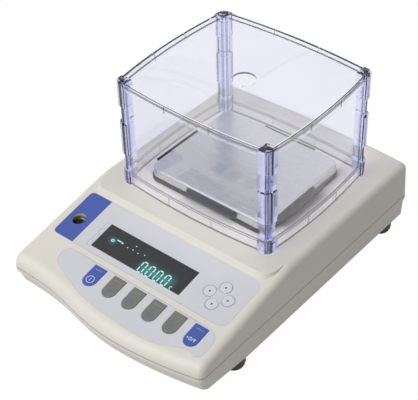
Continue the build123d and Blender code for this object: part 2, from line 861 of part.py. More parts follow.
def shield_pins():
    pins = []
    for x, y in post_places():
        pin = disc(pin_radius, shield_height + pin_peg, x, y, deck_height - pin_peg)
        head = SlotOverall(pin_head_length, pin_head_width)
        turned = Pos(x, y, deck_height + shield_height) * Rot(0, 0, 45 if x * (y - pan_y) > 0 else -45)
        knob = extrude(head, pin_head_height)
        knob = fillet(knob.faces().sort_by(Axis.Z)[-1].edges(), 0.8)
        pins.append(pin + turned * knob)
    return Compound(pins)


def shield_lid():
    """Clear plate that drops between the rims onto their ledges, with a finger hole."""
    plan = Rectangle(4 * post_x, 4 * post_y)
    for face, turns in ((rim_face_y, (0, 180)), (rim_face_x, (90, 270))):
        radius = (half_span(face) ** 2 + rim_bow**2) / (2 * rim_bow)
        reach = rim_thickness - lid_ledge + lid_clearance
        for turn in turns:
            plan = plan & Rot(0, 0, turn) * Pos(0, radius - face - rim_bow) * Circle(radius - reach)
    corner = post_size + 2 * lid_clearance
    for x in (-post_x, post_x):
        for y in (-post_y, post_y):
            plan = plan - Pos(x, y) * Rectangle(corner, corner)
    plan = plan - Circle(finger_hole_radius)
    height = deck_height + shield_height - lid_below_top - lid_sheet
    return Pos(0, pan_y, height) * extrude(plan, lid_sheet)


def build():
    save(upper_housing(), "upper_housing")
    save(lower_base(), "lower_base")
    save(housing_screws(), "housing_screws")
    save(hook_cover(), "hook_cover")
    save(upper_film(), "upper_film")
    save(lower_film(), "lower_film")
    save(display_window(), "display_window")
    names = ["power_key"] + [f"function_key_{i}" for i in range(1, 5)] + ["zero_key"]
    for name, x in zip(names, key_places()):
        save(key(x), name)
    for name, (x, s) in arrow_places().items():
        save(arrow_key(x, s), f"arrow_key_{name}")
    save(panel_board(), "panel_board")
    save(key_switches(), "key_switches")
    save(display_tube(), "display_tube")
    save(level_cup(), "level_cup")
    save(level_vial(), "level_vial")
    save(weighing_pan(), "weighing_pan")
    save(pan_tray(), "pan_tray")
    save(spindle(), "spindle")
    save(dust_collar(), "dust_collar")
    save(sensor_block(), "sensor_block")
    save(tuning_fork(), "tuning_fork")
    save(foot_bushes(), "foot_bushes")
    for place, (x, y) in foot_places().items():
        save(foot_pad(x, y), f"foot_pad_{place}")
        save(foot_screw(x, y), f"foot_screw_{place}")
    save(main_board(), "main_board")
    save(power_socket(), "power_socket")
    save(serial_socket(), "serial_socket")
    for name, shape in shield_panels().items():
        save(shape, name)
    save(shield_pins(), "shield_pins")
    save(shield_lid(), "shield_lid")


build()
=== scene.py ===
# %% [markdown]
# # A laboratory balance with a draught shield
# This notebook gives a finished look to a bench balance: an ivory housing with a sloping key panel,
# a steel pan and a clear shield round it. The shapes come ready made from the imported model, in
# metres, with the table at zero height. What is left to do here is the finish of every surface,
# the printed marks, the lit display, the light and the camera.

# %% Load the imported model
import math

import bpy
from mathutils import Matrix, Vector


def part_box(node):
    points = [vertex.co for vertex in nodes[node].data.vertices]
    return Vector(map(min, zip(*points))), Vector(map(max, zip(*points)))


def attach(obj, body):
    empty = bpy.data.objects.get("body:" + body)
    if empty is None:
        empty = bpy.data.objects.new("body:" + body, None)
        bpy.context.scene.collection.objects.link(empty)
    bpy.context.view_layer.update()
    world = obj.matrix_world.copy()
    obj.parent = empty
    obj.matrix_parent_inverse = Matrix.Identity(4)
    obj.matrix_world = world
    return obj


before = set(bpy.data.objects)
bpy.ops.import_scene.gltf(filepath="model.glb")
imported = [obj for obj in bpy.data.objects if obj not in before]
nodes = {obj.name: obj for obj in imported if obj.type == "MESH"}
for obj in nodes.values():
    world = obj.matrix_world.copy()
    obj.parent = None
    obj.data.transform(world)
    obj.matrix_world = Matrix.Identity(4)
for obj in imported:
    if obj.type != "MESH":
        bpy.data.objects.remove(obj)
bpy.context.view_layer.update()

print("pieces in the model:", len(nodes))

# %% [markdown]
# ## Where things are
# Printed marks have to land on the sloping panel, so the panel gets its own coordinates. x runs
# across, s runs up the slope and h stands out from it. The deck height and the pan's middle are
# read from the model. Only the slope's angle and where it starts are written down.

# %% The sloping panel's own coordinates
MM = 0.001
PANEL_TILT = math.radians(11.3)
PAN_TO_FOLD = 77.4 * MM

pan_low, pan_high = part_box("weighing_pan")
pan_y = (pan_low.y + pan_high.y) / 2
deck_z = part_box("upper_housing")[1].z
fold = Vector((0, pan_y - PAN_TO_FOLD, deck_z))
panel = Matrix.Translation(fold) @ Matrix.Rotation(PANEL_TILT, 4, "X")
to_panel = panel.inverted()


def on_panel(x, s, h=0.0):
    """A place on the slope, in millimetres across, up the slope and out of it."""
    return panel @ Matrix.Translation(Vector((x, s, h)) * MM)


def panel_middle(node):
    """The middle of a node's top face in the slope's millimetres."""
    points = [to_panel @ v.co for v in nodes[node].data.vertices]
    low = [min(p[i] for p in points) / MM for i in range(3)]
    high = [max(p[i] for p in points) / MM for i in range(3)]
    return (low[0] + high[0]) / 2, (low[1] + high[1]) / 2, high[2]


print("deck height", round(deck_z, 4), "fold", round(fold.y, 4))

# %% [markdown]
# ## The camera
# The camera looks from the right front, well above the balance. Its direction is a turn round the
# upright axis, a height above the horizon and a slight roll. A long lens keeps the upright edges
# of the shield almost parallel.

# %% Camera
CAMERA_TURN = math.radians(40.78)
CAMERA_HEIGHT = math.radians(39.78)
CAMERA_ROLL = math.radians(-1.72)
CAMERA_PLACE = Vector((0.5852, -0.6825, 0.8267))
LENS = 105.96

back = Vector(
    (
        math.sin(CAMERA_TURN) * math.cos(CAMERA_HEIGHT),
        -math.cos(CAMERA_TURN) * math.cos(CAMERA_HEIGHT),
        math.sin(CAMERA_HEIGHT),
    )
)
right = Vector((math.cos(CAMERA_TURN), math.sin(CAMERA_TURN), 0))
aim = Matrix((right, back.cross(right), back)).transposed() @ Matrix.Rotation(CAMERA_ROLL, 3, "Z")

camera = bpy.data.objects.new("camera", bpy.data.cameras.new("camera"))
bpy.context.scene.collection.objects.link(camera)
camera.data.sensor_width = 36
camera.data.lens = LENS
camera.data.clip_start = 0.01
camera.matrix_world = Matrix.Translation(CAMERA_PLACE) @ aim.to_4x4()
bpy.context.scene.camera = camera
bpy.context.scene.view_settings.view_transform = "Standard"
print("camera", [round(v, 3) for v in camera.location])

# %% [markdown]
# ## Colours and shader nodes
# Colours are easiest to judge as they look on a screen, from 0 to 255, but shaders count light.
# The first helper turns one into the other. The second adds a shader node and joins its inputs in
# one line, so that each finish below can be read from top to bottom. Small sums on shader values
# come up often, so they get a short form too.

# %% Colour and node helpers


def paint(red, green, blue):
    """A screen colour as the light values that shaders use."""
    light = []
    for c in (red, green, blue):
        light.append(((c / 255 + 0.055) / 1.055) ** 2.4 if c > 10 else c / 3295)
    return (*light, 1.0)


def add(tree, kind, settings=None, **inputs):
    """A new shader node. An input is a value, or an output to link to it. i0 is the first."""
    node = tree.nodes.new("ShaderNode" + kind)
    for name, value in (settings or {}).items():
        setattr(node, name, value)
    for name, value in inputs.items():
        key = int(name[1:]) if name[1:].isdigit() else name
        if isinstance(value, bpy.types.NodeSocket):
            tree.links.new(value, node.inputs[key])
        else:
            node.inputs[key].default_value = value
    return node


def compute(tree, operation, *values):
    """One step of arithmetic on shader values."""
    inputs = {f"i{i}": value for i, value in enumerate(values)}
    return add(tree, "Math", {"operation": operation}, **inputs).outputs[0]


def blank(name):
    """A material with a main shader, its node tree and the surface coordinates."""
    material = bpy.data.materials.new(name)
    material.use_nodes = True
    tree = material.node_tree
    place = tree.nodes.new("ShaderNodeTexCoord").outputs["Object"]
    return material, tree, tree.nodes["Principled BSDF"], place


def wear(piece, material):
    """Give a piece one material all over."""
    data = nodes[piece].data if isinstance(piece, str) else piece.data
    data.materials.clear()
    data.materials.append(material)


print("a mid grey is", round(paint(128, 128, 128)[0], 3))

# %% [markdown]
# ## Moulded plastic
# Most of the balance is moulded plastic. Such a surface is never one flat colour: the mould leaves
# a fine grain, and the tone drifts a little over a large face. A picture could hold that, but a
# noise pattern in the material has no seams and stays sharp close up. The grain goes into the
# bump and the roughness, and the slow drift goes into the colour.

# %% A finish with grain and drift


def mixed(tree, factor, first, second):
    """A colour between two others."""
    node = add(tree, "Mix", {"data_type": "RGBA"}, Factor=factor)
    for socket, value in ((node.inputs[6], first), (node.inputs[7], second)):
        if isinstance(value, bpy.types.NodeSocket):
            tree.links.new(value, socket)
        else:
            socket.default_value = value
    return node.outputs[2]


def noise(tree, place, scale, detail=2.0):
    """A cloudy pattern from 0 to 1. A higher scale makes it finer."""
    return add(tree, "TexNoise", Vector=place, Scale=scale, Detail=detail).outputs["Fac"]


def ranged(tree, value, low, high, start=0.0, end=1.0):
    """A value stretched from start..end to low..high."""
    keys = {"From Min": start, "From Max": end, "To Min": low, "To Max": high}
    node = add(tree, "MapRange", Value=value)
    for key, number in keys.items():
        node.inputs[key].default_value = number
    return node.outputs[0]


def roughen(tree, shader, pattern, low, high, distance, strength=1.0):
    """Let one pattern set both the roughness and the bump."""
    tree.links.new(ranged(tree, pattern, low, high), shader.inputs["Roughness"])
    bump = add(tree, "Bump", Height=pattern, Strength=strength, Distance=distance)
    tree.links.new(bump.outputs["Normal"], shader.inputs["Normal"])


def grained(name, colour, roughness, grain=2600, depth=0.012, drift=0.03, spread=0.06):
    """Moulded plastic, rubber or paint: fine grain and a faint drift in the colour."""
    material, tree, shader, place = blank(name)
    dark = tuple(c * (1 - drift) for c in colour[:3]) + (1.0,)
    light = tuple(min(1.0, c * (1 + drift)) for c in colour[:3]) + (1.0,)
    tree.links.new(mixed(tree, noise(tree, place, 14), dark, light), shader.inputs["Base Color"])
    fine = noise(tree, place, grain, 3)
    roughen(tree, shader, fine, roughness - spread, roughness + spread, depth * MM)
    return material


print("grain, drift and bump in one finish")

# %% [markdown]
# ## The housing and its seam
# The upper and the lower shell meet in a seam all round, which shows as a darker line: the shade
# in its narrow gap is painted into the shell's colour. A strip of its own would be one more piece
# to keep in place. A test of the height in the shell's own finish does the same and follows every
# curve of the wall.

# %% Ivory shells
SEAM_HALF_WIDTH = 0.6 * MM
# painted shade of the seam's narrow gap
SEAM_PAINTED_SHADE = paint(176, 170, 160)


def paint_seam_shade(material, height, half_width, shade):
    """Paint the seam's shade into a level line round the shell."""
    tree = material.node_tree
    shader = tree.nodes["Principled BSDF"]
    plain = shader.inputs["Base Color"].links[0].from_socket
    place = tree.nodes.new("ShaderNodeTexCoord").outputs["Object"]
    level = add(tree, "SeparateXYZ", Vector=place).outputs["Z"]
    # painted shade: the colour turns darker within half a width of the seam height
    seam_shade_mask = compute(tree, "COMPARE", level, height, half_width)
    tree.links.new(mixed(tree, seam_shade_mask, plain, shade), shader.inputs["Base Color"])


seam_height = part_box("lower_base")[1].z
ivory = grained("ivory_plastic", paint(229, 225, 216), 0.48, depth=0.02)
paint_seam_shade(ivory, seam_height, SEAM_HALF_WIDTH, SEAM_PAINTED_SHADE)
for name in ("upper_housing", "lower_base", "hook_cover"):
    wear(name, ivory)
print("seam height", round(seam_height, 4))

# %% [markdown]
# ## The printed films
# Two thin films lie in shallow pockets of the slope. They are satin and cooler than the housing.
# The blue band at the left end is printed on the upper film, so it is a change of colour in the
# same material where x passes the band's edge, not a piece of its own.

# %% Films with the blue band
BAND_EDGE = -78.7 * MM
FILM_COLOURS = paint(218, 219, 224), paint(213, 214, 220)
BAND_BLUES = paint(62, 86, 168), paint(68, 92, 174)


def satin_film(name):
    """A pale satin print that turns blue to the left of the band's edge."""
    material, tree, shader, place = blank(name)
    across = add(tree, "SeparateXYZ", Vector=place).outputs["X"]
    band = compute(tree, "LESS_THAN", across, BAND_EDGE)
    soft = noise(tree, place, 22)
    pale = mixed(tree, soft, *FILM_COLOURS)
    blue = mixed(tree, soft, *BAND_BLUES)
    tree.links.new(mixed(tree, band, pale, blue), shader.inputs["Base Color"])
    fine = noise(tree, place, 3400, 2)
    roughen(tree, shader, fine, 0.3, 0.42, 0.004 * MM)
    return material


film = satin_film("panel_film")
for name in ("upper_film", "lower_film"):
    wear(name, film)
print("blue left of x =", round(BAND_EDGE, 4))

# %% [markdown]
# ## Keys
# The keys are the same satin print on a raised cap. Two are blue, four are a warm grey, and the
# four arrow keys are as pale as the film round them, so that little more than their outline shows.

# %% Key finishes
KEYS = ["power_key"] + [f"function_key_{i}" for i in range(1, 5)] + ["zero_key"]
ARROWS = [f"arrow_key_{side}" for side in ("up", "down", "left", "right")]
blue_cap = grained("blue_key_print", paint(64, 90, 172), 0.34, 3000, 0.004)
grey_cap = grained("grey_key_print", paint(118, 119, 112), 0.36, 3000, 0.004)
pale_cap = grained("pale_key_print", paint(220, 221, 226), 0.36, 3000, 0.004)
for name in KEYS:
    wear(name, grey_cap if name.startswith("function") else blue_cap)
for name in ARROWS:
    wear(name, pale_cap)
print("keys:", len(KEYS), "arrow keys:", len(ARROWS))

# %% [markdown]
# ## Steel
# The pan is stainless steel, brushed in one direction. Each brush line is a tiny groove, which
# smears a reflection across the lines. One way is an anisotropic shader. Another, used here, is
# noise stretched along the brushing, which changes the roughness and tilts the surface a little.
# The other metal parts get it too, each with its own stretch.

# %% Brushed and turned metals


def brushed(name, colour, roughness, stretch, depth=0.003, streak=0.12):
    """Metal with fine lines. stretch scales the noise, small along the lines."""
    material, tree, shader, place = blank(name)
    shader.inputs["Metallic"].default_value = 1.0
    lines = add(tree, "Mapping", Vector=place, Scale=stretch).outputs["Vector"]
    line = noise(tree, lines, 1.0, 4)
    dark = tuple(c * (1 - streak) for c in colour[:3]) + (1.0,)
    tree.links.new(mixed(tree, line, dark, colour), shader.inputs["Base Color"])
    roughen(tree, shader, line, roughness - 0.05, roughness + 0.08, depth * MM)
    return material


METALS = {
    "weighing_pan": ("brushed_pan_steel", paint(214, 213, 211), 0.24, (60, 4500, 4500)),
    "spindle": ("turned_aluminium", paint(205, 205, 206), 0.28, (900, 900, 6000)),
    "sensor_block": ("milled_aluminium", paint(196, 198, 200), 0.34, (3000, 300, 3000)),
    "tuning_fork": ("ground_steel", paint(176, 176, 180), 0.26, (4000, 400, 4000)),
    "foot_bushes": ("turned_brass", paint(214, 178, 98), 0.26, (900, 900, 6000)),
    "housing_screws": ("screw_steel", paint(168, 169, 172), 0.3, (2500, 2500, 5000)),
    "level_cup": ("level_cup_metal", paint(188, 186, 180), 0.35, (1500, 1500, 3000)),
}
for piece, finish in METALS.items():
    wear(piece, brushed(*finish))
print("metal pieces:", len(METALS))

# %% [markdown]
# ## Black and hidden parts
# The tray under the pan, the sockets at the back and the feet are black moulded plastic, the pads
# and the collar are rubber. The boards and switches are never seen with the housing closed, but
# they get a real finish too, for whoever opens the model.

# %% Black plastic, rubber and boards
foot_black = grained("foot_black", paint(12, 12, 13), 0.5, 2200, 0.02)
rubber = grained("matt_rubber", paint(30, 30, 31), 0.8, 1500, 0.03)
board_green = grained("board_varnish", paint(36, 104, 66), 0.3, 700, 0.01, drift=0.12)
wear("pan_tray", grained("tray_black", paint(22, 22, 26), 0.5, 2200, 0.02, spread=0.08))
wear("dust_collar", rubber)
for name in ("panel_board", "main_board"):
    wear(name, board_green)
for name in ("key_switches", "power_socket", "serial_socket"):
    wear(name, foot_black)
for corner_name in ("front_left", "front_right", "rear_left", "rear_right"):
    wear(f"foot_screw_{corner_name}", foot_black)
    wear(f"foot_pad_{corner_name}", rubber)
print("feet: 4, black with rubber pads")

# %% [markdown]
# ## Clear plastic
# The shield is moulded clear plastic with a faint violet cast that shows at its thick edges. A
# see-through shader bends the light as real plastic does. The bending also stops lamp light, which
# would leave the pan in a dark shadow, so for shadow rays alone the surface turns into a plain
# tinted window.

# %% Clear plastic


def clear_plastic(name, tint, shade, roughness=0.03, bend=1.49, haze=0.0):
    """See-through plastic with faint waves, and an even tint for shadow rays."""
    material, tree, shader, place = blank(name)
    shader.inputs["Transmission Weight"].default_value = 1.0 - haze
    shader.inputs["IOR"].default_value = bend
    waves = noise(tree, place, 30)
    pale = tuple(min(1.0, c * 1.03) for c in tint[:3]) + (1.0,)
    tree.links.new(mixed(tree, waves, tint, pale), shader.inputs["Base Color"])
    roughen(tree, shader, waves, roughness * 0.6, roughness * 1.4, 0.05 * MM, 0.3)
    window = add(tree, "BsdfTransparent", Color=shade)
    shadow = add(tree, "LightPath").outputs["Is Shadow Ray"]
    mix = add(tree, "MixShader", i0=shadow, i1=shader.outputs[0], i2=window.outputs[0])
    tree.links.new(mix.outputs[0], tree.nodes["Material Output"].inputs["Surface"])
    return material


lid_clear = clear_plastic("lid_clear", paint(246, 246, 250), paint(248, 248, 250), haze=0.07)
wear("shield_lid", lid_clear)
print("the lid is clear, with a little haze")

# %% [markdown]
# ## The shield and its corner posts
# The posts at the corners are much thicker than the panels, so they get the deeper tint of thick
# plastic. The panels reach into the posts, so the tint can't go by piece. It goes by place: within
# a short reach of the shield's corners the colour changes.

# %% Shield with deeper corners
POST_REACH = 12 * MM
POST_TINT = paint(214, 217, 243)


def beyond(tree, value, middle, limit):
    """One where a coordinate is further than the limit from the middle."""
    away = compute(tree, "ABSOLUTE", compute(tree, "SUBTRACT", value, middle))
    return compute(tree, "GREATER_THAN", away, limit)


def tint_corners(material, shade):
    """Give the surface another tint within a post's reach of the shield's corners."""
    tree = material.node_tree
    shader = tree.nodes["Principled BSDF"]
    thin = shader.inputs["Base Color"].links[0].from_socket
    place = tree.nodes.new("ShaderNodeTexCoord").outputs["Object"]
    parts = add(tree, "SeparateXYZ", Vector=place)
    low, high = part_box("shield_pins")
    wide = beyond(tree, parts.outputs["X"], 0.0, high.x - POST_REACH)
    deep = beyond(tree, parts.outputs["Y"], pan_y, (high.y - low.y) / 2 - POST_REACH)
    corner = compute(tree, "MULTIPLY", wide, deep)
    tree.links.new(mixed(tree, corner, thin, shade), shader.inputs["Base Color"])


shield_clear = clear_plastic("shield_clear", paint(240, 241, 248), paint(246, 246, 249))
tint_corners(shield_clear, POST_TINT)
for name in ("shield_front", "shield_back", "shield_left", "shield_right", "shield_pins"):
    wear(name, shield_clear)
print("posts reach", round(POST_REACH / MM), "mm in from the corners")

# %% [markdown]
# ## The round level
# The level is a little glass drum of oil, seated in a cup under the film. The drum is in the
# model, without its air bubble, and needs only a finish: the same see-through shader, with the
# faint green of the oil and the bend of glass.

# %% Level glass
level_glass = clear_plastic("level_glass", paint(226, 232, 205), paint(225, 230, 215), 0.02, 1.45)
wear("level_vial", level_glass)
print("level glass on", nodes["level_vial"].name)

# %% [markdown]
# ## The display
# A fluorescent display glows under a dark filter. The filter could be see-through, with the lit
# glass below it, but light that bends in deep shade comes out speckled. So the pane is a dark
# glossy face that carries the picture seen through it: the figures as thin lit plates, and round
# them a glow that fades with the distance from the row of figures.

# %% Dark pane with the glow
ROW_LEFT = 1.8
ROW_RIGHT = 29.8
ROW_S = -73.1
RING_PLACE = (-45.9, -64.0)
GLOW = paint(70, 150, 150)
GLOW_STRENGTH = 0.75
GLOW_FALL = 2.2
ROW_REACH = 13.0
RING_REACH = 6.0


def glow_from(tree, place, left, right_end, s, reach):
    """Light that fades with the distance from a stretch of the slope, in millimetres."""
    middle = on_panel((left + right_end) / 2, s).translation
    half = (right_end - left) / 2 * MM
    away = add(tree, "VectorMath", {"operation": "SUBTRACT"}, i0=place, i1=tuple(middle)).outputs[0]
    parts = add(tree, "SeparateXYZ", Vector=away)
    along = compute(tree, "ABSOLUTE", parts.outputs["X"])
    past_end = compute(tree, "MAXIMUM", compute(tree, "SUBTRACT", along, half), 0.0)
    flat = add(tree, "CombineXYZ", X=past_end, Y=parts.outputs["Y"]).outputs[0]
    distance = add(tree, "VectorMath", {"operation": "LENGTH"}, i0=flat).outputs["Value"]
    near = ranged(tree, distance, 1.0, 0.0, 0.0, reach * MM)
    return compute(tree, "POWER", near, GLOW_FALL)


def glowing_pane():
    """A dark glossy pane that glows round the figures and round the ring sign."""
    material, tree, shader, place = blank("display_filter")
    row = glow_from(tree, place, ROW_LEFT, ROW_RIGHT, ROW_S, ROW_REACH)
    ring_x, ring_s = RING_PLACE
    halo = glow_from(tree, place, ring_x - 1, ring_x + 1, ring_s, RING_REACH)
    both = compute(tree, "ADD", row, halo)
    grey = mixed(tree, noise(tree, place, 40), paint(30, 31, 35), paint(34, 35, 39))
    tree.links.new(grey, shader.inputs["Base Color"])
    tree.links.new(ranged(tree, noise(tree, place, 40), 0.22, 0.28), shader.inputs["Roughness"])
    shader.inputs["Emission Color"].default_value = GLOW
    tree.links.new(ranged(tree, both, 0.0, GLOW_STRENGTH), shader.inputs["Emission Strength"])
    return material


wear("display_window", glowing_pane())
wear("display_tube", grained("tube_glass", paint(40, 44, 46), 0.25, 300, 0.001, drift=0.1))
print("finishes so far:", len(bpy.data.materials))

# %% [markdown]
# ## Flat marks
# Everything printed or lit is a thin plate. A filled 2D curve is a handy way to make one: its
# closed outlines are filled, an outline inside another becomes a hole, and extrude gives it
# thickness. The curve is then turned into a mesh and put down on the slope.

# %% Plates from outlines
PRINT_THICKNESS = 0.06


def arc(x, y, half_width, half_height, turns):
    """Points at these turns round a middle."""
    return [(x + half_width * math.cos(t), y + half_height * math.sin(t)) for t in turns]


def circle(x, y, radius, steps=32):
    return arc(x, y, radius, radius, [2 * math.pi * i / steps for i in range(steps)])


def bar(start, end, width):
    """A straight stroke with square ends, as an outline."""
    a, b = Vector(start), Vector(end)
    side = (b - a).normalized().orthogonal() * width / 2
    return [tuple(a + side), tuple(b + side), tuple(b - side), tuple(a - side)]


def stroke(points, width, closed=False):
    """Outlines of an even stroke along points: one if open, two if closed."""
    count = len(points)
    left, right_side = [], []
    for i, point in enumerate(points):
        before = Vector(points[i - 1]) if closed or i > 0 else Vector(point)
        after = Vector(points[(i + 1) % count]) if closed or i < count - 1 else Vector(point)
        side = (after - before).normalized().orthogonal() * width / 2
        left.append(tuple(Vector(point) + side))
        right_side.append(tuple(Vector(point) - side))
    return [left, right_side] if closed else [left + right_side[::-1]]


def plate(name, outlines, matrix, material, body):
    """A thin plate of these outlines, in millimetres, that rides on a body."""
    curve = bpy.data.curves.new(name, "CURVE")
    curve.dimensions = "2D"
    curve.fill_mode = "BOTH"
    curve.extrude = PRINT_THICKNESS / 2 * MM
    for outline in outlines:
        spline = curve.splines.new("POLY")
        spline.points.add(len(outline) - 1)
        for point, (x, y) in zip(spline.points, outline):
            point.co = (x * MM, y * MM, 0, 1)
        spline.use_cyclic_u = True
    drawn = bpy.data.objects.new(name + "_outline", curve)
    mesh = bpy.data.meshes.new_from_object(drawn)
    bpy.data.objects.remove(drawn)
    bpy.data.curves.remove(curve)
    piece = bpy.data.objects.new(name, mesh)
    bpy.context.scene.collection.objects.link(piece)
    piece.matrix_world = matrix
    wear(piece, material)
    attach(piece, body)


print("plates are", PRINT_THICKNESS, "mm thick")

# %% [markdown]
# ## Inks and lit figures
# Inks are matt and slightly uneven. A lit figure is nearly white with a cyan cast, and it gives
# off its own light.

# %% Inks and light
dark_ink = grained("dark_ink", paint(52, 56, 84), 0.5, 3000, 0.002)
grey_ink = grained("grey_ink", paint(150, 150, 152), 0.5, 3000, 0.002)
# not an ink: painted shade for the step at each film's edge, a darker ivory
film_edge_shade = grained("film_edge_painted_shade", paint(176, 172, 168), 0.5, 3000, 0.002)
white_ink = grained("white_ink", paint(232, 236, 246), 0.45, 3000, 0.002)
violet_ink = grained("violet_ink", paint(84, 92, 150), 0.45, 3000, 0.002)
soft_ink = grained("outline_ink", paint(158, 164, 194), 0.5, 3000, 0.002)


def lit(name, colour, strength):
    """A surface that gives off its own light, a little unevenly."""
    material, tree, shader, place = blank(name)
    shader.inputs["Base Color"].default_value = (0.02, 0.03, 0.03, 1)
    shader.inputs["Emission Color"].default_value = colour
    uneven = ranged(tree, noise(tree, place, 1200), strength * 0.85, strength * 1.15)
    tree.links.new(uneven, shader.inputs["Emission Strength"])
    return material


lit_figure = lit("lit_figure", paint(176, 236, 230), 1.0)
print("finishes with inks:", len(bpy.data.materials))

# %% [markdown]
# ## The figures
# A figure on such a display has seven short bars, and a nought lights six of them. Their places
# follow from one width and one height, so the four noughts are one function used four times. The
# decimal point stands after the first. All lie on the pane's face.

# %% Lit figures
FACE_OF_PANE = panel_middle("display_window")[2] + PRINT_THICKNESS / 2
FIGURE_WIDTH = 4.9
FIGURE_HEIGHT = 12.0
FIGURE_PITCH = 9.4
FIGURE_STROKE = 1.25
FIRST_FIGURE_X = -0.8


def nought(x, s):
    """Six lit bars round an empty middle."""
    w, h = FIGURE_WIDTH / 2, FIGURE_HEIGHT / 2
    cut = FIGURE_STROKE * 0.55
    bars = [
        bar((x - w + cut, s + h), (x + w - cut, s + h), FIGURE_STROKE),
        bar((x - w + cut, s - h), (x + w - cut, s - h), FIGURE_STROKE),
    ]
    for side in (-w, w):
        bars.append(bar((x + side, s + cut), (x + side, s + h - cut), FIGURE_STROKE))
        bars.append(bar((x + side, s - cut), (x + side, s - h + cut), FIGURE_STROKE))
    return bars


figures = []
for i in range(4):
    figures += nought(FIRST_FIGURE_X + i * FIGURE_PITCH, ROW_S)
point_x = FIRST_FIGURE_X + FIGURE_PITCH / 2
figures.append(circle(point_x, ROW_S - FIGURE_HEIGHT / 2, 0.85, 12))
plate("display_figures", figures, on_panel(0, 0, FACE_OF_PANE), lit_figure, "base")
print("outlines in the figures:", len(figures))

# %% [markdown]
# ## Small lit signs
# Left of the figures the display shows a ring with a dash, a few dots, and the unit's letter at
# the right. They are as small as a single stroke, so circles, bars and one bent stroke will do.

# %% Small lit signs
SIGN_DOTS = [(-28.2, -63.0), (-21.9, -62.5), (-15.2, -63.1), (-8.3, -61.4), (-21.7, -57.5)]
signs = [circle(*RING_PLACE, 1.7, 20), circle(*RING_PLACE, 0.9, 16)]
signs.append(bar((-42.4, -61.3), (-37.4, -61.3), 1.2))
signs.append(bar((-36.6, -61.7), (-34.8, -61.7), 1.6))
for x, s in SIGN_DOTS:
    signs.append(circle(x, s, 0.6, 10))
UNIT_PLACE = (36.4, -77.2)
unit_turns = [t / 10 for t in range(8, 56, 4)]
signs += stroke(arc(*UNIT_PLACE, 1.2, 1.5, unit_turns), 0.7)
plate("display_signs", signs, on_panel(0, 0, FACE_OF_PANE), lit_figure, "base")
print("lit marks at", round(FACE_OF_PANE, 2), "mm above the panel")

# %% [markdown]
# ## Marks on the keys
# Each key has a sign in its rounded end and a short line of small marks near its straight end. A
# mark has to move with its key, so it rides on the key's own body and sits on the cap. The two
# blue keys come first: one has a ring with a stroke for power, the other the signs for zero.

# %% Key signs
KEY_SIGN_RADIUS = 3.9
KEY_SIGN_STROKE = 0.55
THIN_STROKE = 0.5
ROUND_END = -4.3


def key_base(name):
    """The middle of a key's cap, half a plate above it."""
    x, s, top = panel_middle(name)
    return on_panel(x, s, top + PRINT_THICKNESS / 2)


def ring(x, y, radius, width):
    """A circular stroke: an outer outline with a hole in it."""
    return [circle(x, y, radius + width / 2), circle(x, y, radius - width / 2)]


power = ring(0, ROUND_END, KEY_SIGN_RADIUS, KEY_SIGN_STROKE)
power.append(bar((0, ROUND_END - 1.9), (0, ROUND_END + 1.9), KEY_SIGN_STROKE))
plate("power_key_sign", power, key_base("power_key"), white_ink, "power_key")

oval = arc(-1.3, ROUND_END, 1.1, 1.7, [k * math.pi / 8 for k in range(16)])
zero = stroke(oval, THIN_STROKE, True)
zero.append(bar((0.6, ROUND_END - 2.0), (1.8, ROUND_END + 2.0), 0.45))
zero.append(bar((2.4, ROUND_END + 1.5), (4.4, ROUND_END + 1.5), THIN_STROKE))
zero.append(bar((3.4, ROUND_END + 1.5), (3.4, ROUND_END - 1.7), THIN_STROKE))
zero.append([(-4.9, ROUND_END + 1.0), (-3.3, ROUND_END), (-4.9, ROUND_END - 1.0)])
plate("zero_key_sign", zero, key_base("zero_key"), white_ink, "zero_key")
print("signs on the blue keys: 2")

# %% [markdown]
# ## Signs on the grey keys
# The four grey keys carry plain signs: three lines, a ring with a dash, a ring with a dot, and a
# page. The labels at the far end of every key are five short dashes, not words, because their
# letters are too small to read in the photograph.

# %% Signs on the grey keys
SMALL_RADIUS = 2.9
FAR_END = 7.6
LABEL_MARKS = (-3.6, -2.0, -0.4, 1.2, 2.8)
menu = []
for s in (ROUND_END - 1.5, ROUND_END, ROUND_END + 1.5):
    menu.append(bar((-2.6, s), (2.6, s), THIN_STROKE))
dash = bar((-1.3, ROUND_END), (1.3, ROUND_END), THIN_STROKE)
cycle = ring(0, ROUND_END, SMALL_RADIUS, THIN_STROKE) + [dash]
unit = ring(0, ROUND_END, SMALL_RADIUS, THIN_STROKE) + [circle(0, ROUND_END, 1.0, 16)]
page_corners = [(2.8 * x, ROUND_END + 1.7 * y) for x, y in ((-1, -1), (1, -1), (1, 1), (-1, 1))]
page = stroke(page_corners, THIN_STROKE, True)
for i, sign in enumerate((menu, cycle, unit, page), 1):
    key = f"function_key_{i}"
    plate(key + "_sign", sign, key_base(key), violet_ink, key)

for name in KEYS:
    ink = grey_ink if name.startswith("function") else soft_ink
    label = [bar((x, FAR_END), (x + 1.1, FAR_END), 0.9) for x in LABEL_MARKS]
    plate(name + "_label", label, key_base(name), ink, name)
print("signs on the grey keys: 4")

# %% [markdown]
# ## Outlines on the films
# The four arrow keys stand inside one thin clover outline, made of four arcs, each with a small
# pointer in its middle. The outline is printed on the film and stays still, while each pointer
# rides on its own key.

# %% Clover outline and pointers
ARROW_RADIUS = 6.5
ARROW_OFFSET = 10.4
LOBE_SWEEP = 132
LOBE_STEP = 4
POINTER_RADIUS = 1.5
FLAT_ON_FILM = on_panel(0, 0, PRINT_THICKNESS / 2)
arrow_x = (panel_middle("arrow_key_left")[0] + panel_middle("arrow_key_right")[0]) / 2
arrow_s = (panel_middle("arrow_key_up")[1] + panel_middle("arrow_key_down")[1]) / 2


